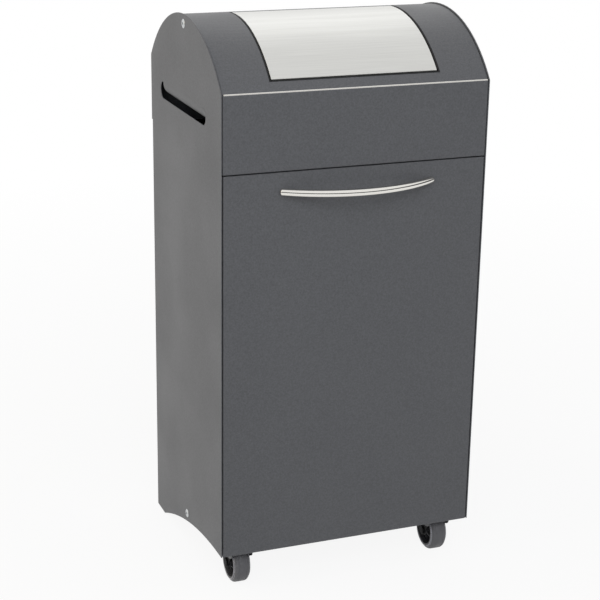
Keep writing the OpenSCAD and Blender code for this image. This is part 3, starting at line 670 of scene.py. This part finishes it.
class BIN_OT_flap(bpy.types.Operator):
    """Push flap: brushed skin, a backing blackened as painted shade for the gap round the flap, and
    galvanised arms
    """

    bl_idname = "bin.flap"
    bl_label = "Flap"

    def execute(self, context):
        sizes = context.scene.bin_sizes
        rounded_copies(["flap_panel"], sizes.panel_round, sizes.fold_round)
        # The backing's black is painted shade: it shows where the gap round the flap is in shadow
        behind = ["flap_backing", "left_flap_arm", "right_flap_arm"]
        rounded_copies(behind, sizes.cut_round, sizes.small_round)
        self.seal(sizes.hood_radius, sizes.mouth_half, sizes.mouth_seal, sizes.seal_lap)
        return {"FINISHED"}

    def seal(self, radius, half, thick, lap):
        """Black edging, as painted shade for the dark gap round the flap, on the hood's cut edge,
        down both sides of the opening and across its front.

        Its section is rows of inset from the cut edge and rise over the hood, and each row runs
        round a U on the hood, x across and s along the arch. A point with its rise at radius r is
        (x, y0 - r sin(s / radius), z0 + r cos(s / radius)).
        """
        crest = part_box("hood")[1].z
        middle = joint_place("flap_push").y
        # The opening's back and front edges lie at these angles from the crest
        back, front = np.radians([-3.9, 48]) * radius
        sheet, proud, play = 1.5 * MM, 0.5 * MM, 0.02 * MM
        section = np.array([
            [0, -sheet], [0, play], [-lap, play], [-lap, proud * 0.4], [-lap * 0.7, proud * 0.85],
            [0, proud], [thick * 0.6, proud * 0.6], [thick, -0.2 * MM], [thick, -sheet],
        ])
        inset, rise = section.T
        share = np.linspace(0, 1, 60)[:, None]
        s = back + (front - inset - back) * share
        x = np.broadcast_to(half - inset, s.shape)
        x, s = np.concatenate([-x, x]), np.concatenate([s, s[::-1]])
        r, turn = radius + rise, s / radius
        rings = points_at(x, middle - r * np.sin(turn), crest - radius + r * np.cos(turn))
        # Painted shade: a black strip where the gap round the flap is in shadow
        new_piece("mouth_seal", [capped(rings)], "housing", "rubber")


class BIN_OT_handle(bpy.types.Operator):
    """Bow handle: a round bar on one arc, its ends square and eased, with a flat on the door"""

    bl_idname = "bin.handle"
    bl_label = "Handle"

    def execute(self, context):
        sizes = context.scene.bin_sizes
        low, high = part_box("door_handle")
        door_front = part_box("door_panel")[0].y
        bar = (high.z - low.z) / 2
        inner_bow = door_front - low.y - 2 * bar + sizes.bar_flat
        # The bar's inner edge meets the door at foot; its outer edge ends farther out, at the box.
        # Each depends on the other, and a few rounds settle them
        foot = high.x
        for _ in range(20):
            inner = (foot**2 + inner_bow**2) / (2 * inner_bow)
            foot = high.x / (1 + 2 * bar / inner)
        lean = math.asin(foot / inner)
        points = self.bowed(bar, inner + bar, lean, sizes.bar_ease, low.y, (low.z + high.z) / 2)
        points[..., 1] = np.minimum(points[..., 1], door_front)
        new_piece("handle_bar", [capped(points)], "door", "polished_steel", ["door_handle"])
        rounded_copies(["handle_screws"], sizes.cut_round)
        return {"FINISHED"}

    def bowed(self, bar, bend, lean, ease, front, centre_z):
        """Round bar bent to an arc that lies flat.

        At angle a along the bar and turn t about it, the distance from the bend's centre is
        d = bend + r cos t, and the point is (d sin a, centre_y - d cos a, centre_z + r sin t).
        Over each end, e from 0 to 90 degrees, a quarter circle of radius ease takes
        r from bar to bar - ease (1 - cos e), and a to its last ease (1 - sin e) short of lean.
        """
        e = quarter(8)
        last = lean - ease / bend * (1 - np.sin(e))
        small = bar - ease * (1 - np.cos(e))
        middle = np.linspace(-last[0], last[0], 161)[1:-1]
        a = np.concatenate([-last[::-1], middle, last])[:, None]
        radius = np.concatenate([small[::-1], np.full(len(middle), bar), small])[:, None]
        turn = turns(48)
        reach = bend + radius * np.cos(turn)
        y = front + bar + bend - reach * np.cos(a)
        return points_at(reach * np.sin(a), y, centre_z + radius * np.sin(turn))


class BIN_OT_rods(bpy.types.Operator):
    """Cross rods, the door's hinge and the domed screws that hold the rods"""

    bl_idname = "bin.rods"
    bl_label = "Rods and screws"

    def execute(self, context):
        sizes = context.scene.bin_sizes
        rods = ["upper_cross_rod", "lower_cross_rod"]
        hinge = ["door_hinge_pins", "left_hinge_plate", "right_hinge_plate"]
        rounded_copies([*rods, *hinge, "spring_collars"], sizes.cut_round, sizes.small_round)
        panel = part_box("right_side_panel")[1].x
        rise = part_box("cross_rod_screws")[1].x - panel
        profile = self.screw(sizes.screw_head / 2, sizes.screw_socket / 2, rise) + [panel, 0]
        heads = [
            lathe(profile * [way, 1], centre_of(rod) * Vector((0, 1, 1)), 48, hexagon=3)
            for way in SIDES.values() for rod in rods
        ]
        new_piece("rod_screws", heads, "housing", "zinc_plated_steel", ["cross_rod_screws"])
        return {"FINISHED"}

    def screw(self, head, socket, rise):
        """Profile of a domed screw: shank, dome and socket.

        The dome is a quarter ellipse: (rise sin a, head - (head - crown) (1 - cos a)).
        """
        shank, buried = 3 * MM, -15.5 * MM
        crown = socket * 1.5
        a = quarter(9)
        dome = np.stack([rise * np.sin(a), head - (head - crown) * (1 - np.cos(a))], -1)
        return np.concatenate([
            [[buried, 0], [buried, shank], [0, shank]],
            dome,
            [[rise, socket * 1.2], [rise * 0.9, socket], [rise * 0.2, socket], [rise * 0.2, 0]],
        ])


class BIN_OT_springs(bpy.types.Operator):
    """Return springs: round wire wound about the upper rod"""

    bl_idname = "bin.springs"
    bl_label = "Flap springs"

    def execute(self, context):
        sizes = context.scene.bin_sizes
        wire = sizes.spring_wire / 2
        turn = np.linspace(0, FULL_TURN * sizes.spring_turns, sizes.spring_turns * 36 + 1)
        spoke = points_at(0, np.cos(turn), np.sin(turn))
        for node in ("left_flap_spring", "right_flap_spring"):
            low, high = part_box(node)
            # A helix: turn t gives the centre line at (x rising with t, y + r cos t, z + r sin t)
            path = np.array(centre_of(node)) + spoke * ((high.z - low.z) / 2 - wire)
            path[:, 0] = np.linspace(low.x + wire, high.x - wire, len(turn))
            wound = tube(path, wire, spoke, 12)
            new_piece(node + "_wire", [wound], "housing", "zinc_plated_steel", [node])
        return {"FINISHED"}


class BIN_OT_rivets(bpy.types.Operator):
    """Blind rivets down both edges of the back panel"""

    bl_idname = "bin.rivets"
    bl_label = "Rivets"

    def execute(self, context):
        sizes = context.scene.bin_sizes
        low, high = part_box("back_rivets")
        radius = sizes.rivet_head / 2
        # Half of an ellipse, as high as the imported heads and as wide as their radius
        a = quarter(7)
        dome = np.stack([(high.y - low.y) * np.sin(a), radius * np.cos(a)], -1)
        points, faces = lathe(np.concatenate([[[0, 0]], dome]), (0, 0, 0), 24)
        turned = points[..., [1, 0, 2]]
        heads = [
            (turned + [x, low.y, z], faces)
            for x in (low.x + radius, high.x - radius)
            for z in np.linspace(low.z + radius, high.z - radius, sizes.rivets)
        ]
        new_piece("rivet_heads", heads, "housing", "powder_coat", ["back_rivets"])
        return {"FINISHED"}


class BIN_OT_wheels(bpy.types.Operator):
    """Front wheels: moulded tyres, dished hubs with ribs, cover skirts, forks and axle bolts"""

    bl_idname = "bin.wheels"
    bl_label = "Wheels"

    def execute(self, context):
        sizes = context.scene.bin_sizes
        for side in SIDES:
            body, tyre, hub = side + "_wheel", side + "_tyre", side + "_hub"
            low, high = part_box(tyre)
            centre = joint_place(side + "_wheel_spin")
            half, outer = (high.x - low.x) / 2, (high.z - low.z) / 2
            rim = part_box(hub)[1].z - centre.z + sizes.hub_reach
            shoulder, lip, groove = sizes.tyre_shoulder, sizes.tyre_lip, sizes.groove_depth
            round_tyre = lathe(self.tyre(half, outer, rim, shoulder, lip, groove), centre, 96)
            new_piece(side + "_tyre_moulded", [round_tyre], body, "grey_tyre", [tyre])
            dish = lathe(self.hub(half, rim), centre, 72)
            ribs = self.ribs(centre, half, rim, sizes.hub_ribs)
            new_piece(side + "_hub_moulded", [dish, *ribs], body, "black_plastic", [hub])
            skirts = self.skirts(*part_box(side + "_wheel_cover"), sizes.skirt_drop)
            new_piece(side + "_cover_skirts", skirts, "housing", "powder_coat")
        rounded_copies(["left_wheel_fork", "right_wheel_fork"], sizes.cut_round, sizes.fold_round)
        rounded_copies(["wheel_axles"], sizes.small_round)
        return {"FINISHED"}

    def skirts(self, low, high, drop):
        """Rounded plates that hang from both sides of a wheel cover.

        At y the lower edge is half an ellipse: z = low - drop sqrt(1 - ((y - middle) / half)^2).
        Both of its corners are cut off by ease, and the plate's top laps the cover.
        """
        share = np.linspace(-1, 1, 61)[:, None]
        y = (low.y + high.y) / 2 + (high.y - low.y) / 2 * share
        bottom = low.z - drop * np.sqrt(1 - share**2)
        inset, wall, ease, lap = 0.1 * MM, 1 * MM, 0.3 * MM, 3 * MM
        plates = []
        for edge, inwards in ((low.x, 1), (high.x, -1)):
            x = edge + inwards * (inset + np.array([0, 0, ease, wall - ease, wall, wall]))
            top = np.full_like(share, low.z + lap)
            z = np.concatenate([top, bottom + ease, bottom, bottom, bottom + ease, top], 1)
            plates.append(capped(points_at(x, y, z)))
        return plates

    def tyre(self, half, outer, rim, shoulder, lip, groove):
        """Profile: flat tread with two grooves, and on each side two arcs, for the round shoulder
        and the raised lip that closes on the rim."""
        tread = half - lip - shoulder
        bottom = outer - groove
        right = np.concatenate([
            [[0, outer], [tread * 0.75, outer], [tread * 0.9, bottom], [tread * 1.05, outer]],
            arc_profile(tread, outer - shoulder, shoulder, 78, 0, 11),
            arc_profile(half - lip, rim + lip, lip, 60, -90, 9),
        ])
        left = right[:0:-1] * [-1, 1]
        return np.concatenate([left, right, left[:1]])

    def hub(self, half, rim):
        """Profile of the rim, the thin web and the boss, the same on both faces."""
        bore = 4.05 * MM
        edge, web, wall = half - 0.5 * MM, 3 * MM, 1.6 * MM
        right = np.array([
            [edge, rim], [edge, rim - wall], [edge - 0.5 * MM, rim - wall - 0.4 * MM],
            [web + 1 * MM, rim - wall - 1 * MM], [web, rim - wall - 2.2 * MM],
            [web, bore + 5 * MM], [web + 0.8 * MM, bore + 3.8 * MM],
            [half - 0.4 * MM, bore + 3.2 * MM], [half, bore + 2.8 * MM], [half, bore],
        ])
        return np.concatenate([right, right[::-1] * [-1, 1], right[:1]])

    def ribs(self, centre, half, rim, number):
        """Ribs from the boss to the rim on both faces.

        A corner lies r along the spoke, w across it and x along the axle. Its spoke is
        (0, sin t, cos t) and the way across is (0, cos t, -sin t), with t spaced evenly.
        """
        inner, outer, thick, web = 7 * MM, rim - 2.4 * MM, 0.9 * MM, 2 * MM
        r = np.array([inner, outer, outer, inner] * 2)[:, None]
        w = np.array([-thick, -thick, thick, thick] * 2)[:, None]
        top = [half - 2 * MM, half - 7.5 * MM, half - 7.5 * MM, half - 2 * MM]
        x = np.array([web] * 4 + top)[:, None] * [1, 0, 0]
        t = turns(number)[:, None]
        spoke = points_at(0, np.sin(t), np.cos(t))
        across = points_at(0, np.cos(t), -np.sin(t))
        quads = np.array([
            [0, 1, 2, 3], [4, 5, 6, 7], [0, 1, 5, 4], [1, 2, 6, 5], [2, 3, 7, 6], [3, 0, 4, 7],
        ])
        faces = quads + 8 * np.arange(number)[:, None, None]
        side = np.array(centre) + spoke * r + across * w
        return [(side + way * x, faces) for way in SIDES.values()]


class BIN_OT_liner(bpy.types.Operator):
    """Liner: a galvanised tub with a rolled rim and pressed beads, its ears and its bail"""

    bl_idname = "bin.liner"
    bl_label = "Liner"

    def execute(self, context):
        sizes = context.scene.bin_sizes
        low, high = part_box("liner")
        rim, wall = sizes.liner_rim, sizes.liner_wall
        half = (high - low) / 2 - Vector((rim, rim, 0))
        profile = self.tub_profile(high.z - low.z, rim, wall, sizes.liner_bead)
        tub = self.tub(profile, half, sizes.liner_corner, centre_of("liner"), low.z)
        new_piece("liner_tub", [tub], "liner", "galvanised_steel", ["liner"])
        self.ears(half.x, rim, wall)
        self.bail(sizes.bail_wire / 2, sizes.bail_bend)
        return {"FINISHED"}

    def tub_profile(self, tall, rim, wall, bead):
        """Rows of height and offset: foot, beaded wall, rolled rim and back down inside.

        The wall's offset at height z is bead times the sum of exp(-((z - h) / 4 mm)^2) over its
        two beads' heights h.
        """
        foot = 5 * MM
        z = np.linspace(6 * MM, tall - 14 * MM, 121)
        swell = bead * sum(np.exp(-(((z - tall * share) / (4 * MM)) ** 2)) for share in (0.3, 0.62))
        roll = 1.8 * MM
        out, up = arc_profile(0, 0, 1, 0, 180, 9).T
        return np.concatenate([
            arc_profile(foot, -foot, foot, 180, 90, 7),
            np.stack([z, swell], -1),
            [[tall - 12 * MM, 0], [tall - 11.6 * MM, rim * 0.6]],
            [[tall - 11 * MM, rim], [tall - 4 * MM, rim]],
            np.stack([tall - roll + roll * up, -wall / 2 + (rim + wall / 2) * out], -1),
            np.stack([z[::-1], swell[::-1] - wall], -1),
            [[foot, -wall], [wall, -foot]],
        ])

    def tub(self, profile, half, corner, middle, floor_z):
        """A rounded rectangle at every height.

        Turn t runs round four quarter circles of radius corner, joined by straight sides; the
        profile's offset moves it outwards. The first and last rows shrink it to a point, which
        closes the floor outside and inside.
        """
        starts = np.array([[1, 1, 0], [-1, 1, 90], [-1, -1, 180], [1, -1, 270]])
        angles = np.radians(starts[:, 2:] + np.linspace(0, 90, 13)).ravel()
        centres = np.repeat(starts[:, :2] * [half.x - corner, half.y - corner], 13, 0)
        direction = np.stack([np.cos(angles), np.sin(angles)], -1)
        inset, sheet = profile[0, 1], profile[-1, 0]
        rows = np.concatenate([
            [[0, 0, inset], [0.9, 0, inset]],
            np.insert(profile, 0, 1, axis=1),
            [[0.9, sheet, inset], [0, sheet, inset]],
        ])
        plan = (centres + direction * (corner + rows[:, 2])[:, None, None]) * rows[:, 0, None, None]
        x, y = middle.x + plan[..., 0], middle.y + plan[..., 1]
        return points_at(x, y, floor_z + rows[:, 1, None]), grid_faces(len(rows), plan.shape[1])

    def ears(self, half_x, rim, wall):
        """Round bosses on the wall that the bail's ends turn in, revolved about their pivot."""
        pivot = joint_place("bail_swing")
        x, back = half_x + rim, half_x - wall * 0.4
        profile = np.array([
            [back, 9 * MM], [x - 0.6 * MM, 9 * MM], [x, 8.2 * MM], [x, 3.2 * MM],
            [x - 0.5 * MM, 2.6 * MM], [back, 2.6 * MM], [back, 9 * MM],
        ])
        centre = (0, pivot.y, pivot.z)
        bosses = [lathe(profile * [way, 1], centre, 48) for way in SIDES.values()]
        new_piece("liner_ears", bosses, "liner", "galvanised_steel")

    def bail(self, wire, bend):
        """Wire bent to a U: its ends turned in through the ears, straight legs and a straight grip.

        The path lies in the bail's plane, u along X and v away from the pivot, and each corner is
        a quarter circle. It is carried to pivot + u (1, 0, 0) + v out.
        """
        low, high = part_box("liner_bail")
        pivot = joint_place("bail_swing")
        x = high.x - wire
        out = np.array([0, high.y - wire - pivot.y, low.z + wire - pivot.z])
        reach = np.linalg.norm(out)
        out /= reach
        turn_in, end = 3 * MM, x - 6.5 * MM
        leg = np.concatenate([
            [[end, 0]],
            arc_profile(x - turn_in, turn_in, turn_in, -90, 0, 13),
            arc_profile(x - bend, reach - bend, bend, 0, 90, 17),
        ])
        flat = np.concatenate([leg, leg[::-1] * [-1, 1]])
        across = np.array([1.0, 0, 0])
        path = np.array(pivot) + flat[:, :1] * across + flat[:, 1:] * out
        wire_piece = tube(path, wire, np.cross(across, out))
        new_piece("bail_wire", [wire_piece], "bail", "galvanised_steel", ["liner_bail"])


class BIN_OT_catch(bpy.types.Operator):
    """Magnet catch and the rubber pads under the feet"""

    bl_idname = "bin.catch"
    bl_label = "Catch and pads"

    def execute(self, context):
        sizes = context.scene.bin_sizes
        rounded_copies(["magnet_catch"], sizes.small_round)
        rounded_copies(["foot_pads"], sizes.small_round * 2)
        return {"FINISHED"}


# Stage


def lamp(name, place, aim_z, size, watts, rgb, mirrored=True):
    """A softbox that faces the bin at one height. Shiny metal shows it only if it is mirrored."""
    data = bpy.data.lights.new(name, "AREA")
    data.shape = "RECTANGLE"
    data.size, data.size_y = size
    data.energy = watts
    data.color = rgb
    made = in_scene(name, data)
    made.location = place
    ahead = Vector((0, 0, aim_z)) - Vector(place)
    made.rotation_euler = ahead.to_track_quat("-Z", "Y").to_euler()
    made.visible_glossy = mirrored


def backdrop_rays(tree):
    """1 for a ray that shows the backdrop: seen straight, in a mirror or through glass."""
    straight, mirror, glass = [
        add(tree, "ShaderNodeLightPath", out=f"Is {kind} Ray")
        for kind in ("Camera", "Glossy", "Transmission")
    ]
    either = add(tree, MATH, {0: straight, 1: mirror}, operation="MAXIMUM")
    return add(tree, MATH, {0: either, 1: glass}, operation="MAXIMUM")


class BIN_OT_stage(bpy.types.Operator):
    """Pale floor, soft lamps and the camera"""

    bl_idname = "bin.stage"
    bl_label = "Stage"

    def execute(self, context):
        stage = context.scene.bin_stage
        self.world(context.scene)
        self.floor(context.scene)
        white, cool, warm = (1, 1, 1), (0.95, 0.97, 1), (1, 0.87, 0.66)
        lamp("rear_top_softbox", (0.1, 1.9, 2.6), 0.7, (3, 1.8), stage.top_watts, white)
        lamp(
            "front_fill", (-0.7, -2.2, 1.7), 0.5, (2.4, 1.6), stage.front_watts, cool,
            mirrored=False,
        )
        lamp("left_softbox", (-2.6, 0.1, 1.5), 0.4, (1.6, 2.2), stage.side_watts, warm)
        self.camera(context.scene)
        context.scene.view_settings.view_transform = "Standard"
        return {"FINISHED"}

    def world(self, scene):
        """White to the camera. Mirrors see a dark room round the bin, just above the horizon."""
        scene.world = bpy.data.worlds.new("studio")
        tree = empty_tree(scene.world)
        way = add(tree, "ShaderNodeTexCoord", out="Generated")
        ahead, height = [add(tree, "ShaderNodeSeparateXYZ", {"Vector": way}, axis) for axis in "YZ"]
        soft = {"interpolation_type": "SMOOTHSTEP"}
        front = add(tree, RANGE, {"Value": ahead, "From Min": 0.25, "From Max": -0.05}, **soft)
        low = add(tree, RANGE, {"Value": height, "From Min": 0.42, "From Max": 0.3}, **soft)
        room = add(tree, MATH, {0: front, 1: low}, operation="MULTIPLY")
        glossy = add(tree, "ShaderNodeLightPath", out="Is Glossy Ray")
        seen = add(tree, MATH, {0: room, 1: glossy}, operation="MULTIPLY")
        dimmed = add(tree, RANGE, {"Value": seen, "To Min": 1.0, "To Max": 0.08})
        level = add(tree, RANGE, {"Value": backdrop_rays(tree), "To Min": 0.4, "To Max": 1.0})
        strength = add(tree, MATH, {0: dimmed, 1: level}, operation="MULTIPLY")
        light = add(tree, "ShaderNodeBackground", {"Color": (1, 1, 1, 1), "Strength": strength})
        add(tree, "ShaderNodeOutputWorld", {"Surface": light})

    def floor(self, scene):
        """White to the camera and to mirrors, and plain white far from the bin.

        It throws less light up at the bin than it shows.
        """
        material = bpy.data.materials.new("studio_floor")
        tree = empty_tree(material)
        pale = scene.bin_colours.floor
        thrown = add(tree, "ShaderNodeLightPath", out="Is Diffuse Ray")
        paint = add(tree, MIX, {0: thrown, 6: shade(pale, 1), 7: shade(pale, 0.4)}, **OF_COLOURS)
        diffuse = add(tree, "ShaderNodeBsdfDiffuse", {"Color": paint})
        glow = add(tree, "ShaderNodeEmission", {"Color": (1, 1, 1, 1), "Strength": 1.0})
        place = add(tree, "ShaderNodeTexCoord", out="Object")
        away = add(tree, "ShaderNodeVectorMath", {0: place}, "Value", operation="LENGTH")
        # Near the bin a tenth of the floor is paint, which takes the shadow
        fade = {"Value": away, "From Min": 0.5, "From Max": 2.2, "To Min": 0.9, "To Max": 1.0}
        bare = add(tree, RANGE, fade)
        share = add(tree, MATH, {0: backdrop_rays(tree), 1: bare}, operation="MULTIPLY")
        mixed = add(tree, "ShaderNodeMixShader", {"Fac": share, 1: diffuse, 2: glow})
        add(tree, "ShaderNodeOutputMaterial", {"Surface": mixed})
        reach = 14
        corners = [(-reach, -reach, 0), (reach, -reach, 0), (reach, reach, 0), (-reach, reach, 0)]
        mesh = bpy.data.meshes.new("floor")
        mesh.from_pydata(corners, [], [(0, 1, 2, 3)])
        mesh.materials.append(material)
        in_scene("floor", mesh)

    def camera(self, scene):
        """Stands at distance from its aim, turned by azimuth and raised by elevation."""
        stage = scene.bin_stage
        turn, rise = stage.azimuth, stage.elevation
        flat = math.cos(rise)
        back = Vector((math.sin(turn) * flat, -math.cos(turn) * flat, math.sin(rise)))
        data = bpy.data.cameras.new("camera")
        data.lens = stage.lens
        data.sensor_width = 36
        data.clip_start, data.clip_end = 0.1, 60
        made = in_scene("camera", data)
        made.location = Vector(stage.aim) + back * stage.distance
        made.rotation_euler = (-back).to_track_quat("-Z", "Y").to_euler()
        made.rotation_euler.rotate_axis("Z", stage.roll)
        scene.camera = made


PIECES = (
    BIN_OT_sheets, BIN_OT_flap, BIN_OT_handle, BIN_OT_rods, BIN_OT_springs, BIN_OT_rivets,
    BIN_OT_wheels, BIN_OT_liner, BIN_OT_catch, BIN_OT_stage,
)


class BIN_PT_sidebar(bpy.types.Panel):
    """Sizes, colours and a button for each group of pieces"""

    bl_idname = "BIN_PT_sidebar"
    bl_label = "Recycling bin"
    bl_space_type = "VIEW_3D"
    bl_region_type = "UI"
    bl_category = "Bin"

    def draw(self, context):
        for group in (context.scene.bin_sizes, context.scene.bin_colours, context.scene.bin_stage):
            box = self.layout.box()
            for name in group.__annotations__:
                box.prop(group, name)
        for piece in PIECES:
            self.layout.operator(piece.bl_idname)


GROUPS = {"bin_sizes": BinSizes, "bin_colours": BinColours, "bin_stage": BinStage}
CLASSES = (*GROUPS.values(), *PIECES, BIN_PT_sidebar)


def register():
    for cls in CLASSES:
        bpy.utils.register_class(cls)
    for name, group in GROUPS.items():
        setattr(bpy.types.Scene, name, PointerProperty(type=group))


def unregister():
    for name in GROUPS:
        delattr(bpy.types.Scene, name)
    for cls in reversed(CLASSES):
        bpy.utils.unregister_class(cls)


def main():
    register()
    bpy.ops.bin.sheets()
    bpy.ops.bin.flap()
    bpy.ops.bin.handle()
    bpy.ops.bin.rods()
    bpy.ops.bin.springs()
    bpy.ops.bin.rivets()
    bpy.ops.bin.wheels()
    bpy.ops.bin.liner()
    bpy.ops.bin.catch()
    bpy.ops.bin.stage()


if __name__ == "__main__":
    main()
